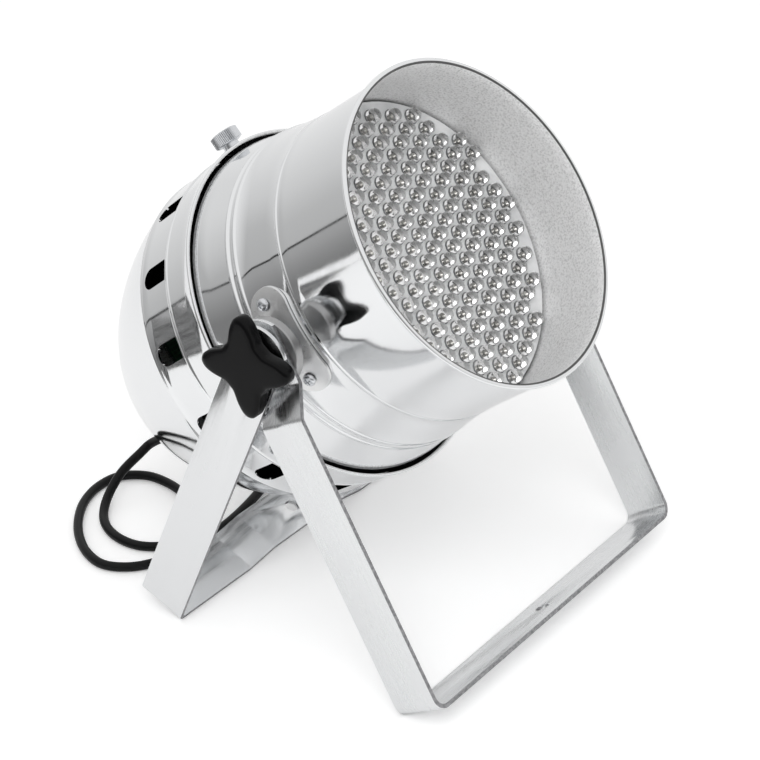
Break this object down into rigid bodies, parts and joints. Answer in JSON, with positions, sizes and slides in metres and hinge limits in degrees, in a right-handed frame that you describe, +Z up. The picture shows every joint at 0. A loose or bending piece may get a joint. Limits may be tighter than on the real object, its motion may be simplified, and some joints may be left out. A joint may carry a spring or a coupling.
{
  "type": "led par can",
  "caption": "Stage wash light: a polished spun can with a round field of led lenses, held at its sides by two hinged strip brackets that form a floor stand or hanging yoke, with a mains lead.",
  "frame": {"origin": "on the floor, under the middle of the lamp and its brackets, the free mains lead left out", "axes": "+Z up; the hinge axis of both brackets runs along X; the can faces -Y and upwards"},
  "size_m": [0.3192, 0.39, 0.3793],
  "materials": {
    "polished_aluminium": "mirror polished",
    "satin_aluminium": "satin",
    "zinc_plated_steel": "bright zinc plated",
    "clear_lens_on_white_board": "clear lenses over a white board",
    "green_circuit_board": "solder mask",
    "black_moulded_plastic": "glossy",
    "black_satin_plastic": "satin",
    "black_rubber": "smooth",
    "nickel_plated_brass": "nickel plated"
  },
  "bodies": {
    "can": {"front_barrel": "polished_aluminium", "rear_housing": "polished_aluminium", "side_plate_left": "polished_aluminium", "side_plate_right": "polished_aluminium", "board_carrier": "satin_aluminium", "power_supply": "satin_aluminium", "friction_disc_left": "satin_aluminium", "friction_disc_right": "satin_aluminium", "spacer_washer_left": "satin_aluminium", "spacer_washer_right": "satin_aluminium", "rear_panel": "satin_aluminium", "board_spacer_1": "zinc_plated_steel", "board_spacer_2": "zinc_plated_steel", "board_spacer_3": "zinc_plated_steel", "side_plate_screw_left_1": "zinc_plated_steel", "side_plate_screw_left_2": "zinc_plated_steel", "side_plate_screw_right_1": "zinc_plated_steel", "side_plate_screw_right_2": "zinc_plated_steel", "pivot_stud_left": "zinc_plated_steel", "pivot_stud_right": "zinc_plated_steel", "housing_strap_top": "zinc_plated_steel", "housing_strap_left": "zinc_plated_steel", "housing_strap_right": "zinc_plated_steel", "housing_screw_left": "zinc_plated_steel", "housing_screw_right": "zinc_plated_steel", "led_board": "clear_lens_on_white_board", "driver_board": "green_circuit_board", "control_board": "green_circuit_board", "display_window": "black_moulded_plastic", "dmx_in_socket": "black_satin_plastic", "dmx_out_socket": "black_satin_plastic", "cable_gland": "black_satin_plastic", "gland_cap_nut": "black_satin_plastic", "bend_relief": "black_rubber", "mains_lead": "black_rubber", "plug_body": "black_rubber", "supply_lead": "black_rubber", "plug_pin_1": "nickel_plated_brass", "plug_pin_2": "nickel_plated_brass"},
    "front_bracket": {"front_bracket": "polished_aluminium"},
    "rear_bracket": {"rear_bracket": "polished_aluminium"},
    "knob_left": {"knob_left": "black_moulded_plastic"},
    "knob_right": {"knob_right": "black_moulded_plastic"},
    "thumb_screw": {"thumb_screw": "zinc_plated_steel"},
    "button_1": {"button_1": "black_satin_plastic"},
    "button_2": {"button_2": "black_satin_plastic"},
    "button_3": {"button_3": "black_satin_plastic"},
    "button_4": {"button_4": "black_satin_plastic"},
    "socket_latch": {"socket_latch": "zinc_plated_steel"}
  },
  "joints": [
    {"name": "front_bracket_swing", "type": "hinge", "parent": "can", "child": "front_bracket", "pos_m": [0, -0.02923, 0.22743], "axis": [-1, 0, 0], "range_deg": [0, 180]},
    {"name": "rear_bracket_swing", "type": "hinge", "parent": "can", "child": "rear_bracket", "pos_m": [0, -0.02923, 0.22743], "axis": [1, 0, 0], "range_deg": [0, 15]},
    {"name": "knob_left_turn", "type": "hinge", "parent": "can", "child": "knob_left", "pos_m": [-0.15, -0.02923, 0.22743], "axis": [-1, 0, 0], "continuous": true},
    {"name": "knob_right_turn", "type": "hinge", "parent": "can", "child": "knob_right", "pos_m": [0.15, -0.02923, 0.22743], "axis": [1, 0, 0], "continuous": true},
    {"name": "thumb_screw_turn", "type": "hinge", "parent": "can", "child": "thumb_screw", "pos_m": [0, 0.10252, 0.28813], "axis": [0, 0.687, 0.7266], "continuous": true},
    {"name": "button_1_press", "type": "slide", "parent": "can", "child": "button_1", "axis": [0, -0.7859, 0.6184], "range_m": [0, 0.0005], "stiffness_N_per_m": 800},
    {"name": "button_2_press", "type": "slide", "parent": "can", "child": "button_2", "axis": [0, -0.7859, 0.6184], "range_m": [0, 0.0005], "stiffness_N_per_m": 800},
    {"name": "button_3_press", "type": "slide", "parent": "can", "child": "button_3", "axis": [0, -0.7859, 0.6184], "range_m": [0, 0.0005], "stiffness_N_per_m": 800},
    {"name": "button_4_press", "type": "slide", "parent": "can", "child": "button_4", "axis": [0, -0.7859, 0.6184], "range_m": [0, 0.0005], "stiffness_N_per_m": 800},
    {"name": "socket_latch_press", "type": "slide", "parent": "can", "child": "socket_latch", "axis": [0, -0.6184, -0.7859], "range_m": [0, 0.0012], "stiffness_N_per_m": 500}
  ]
}
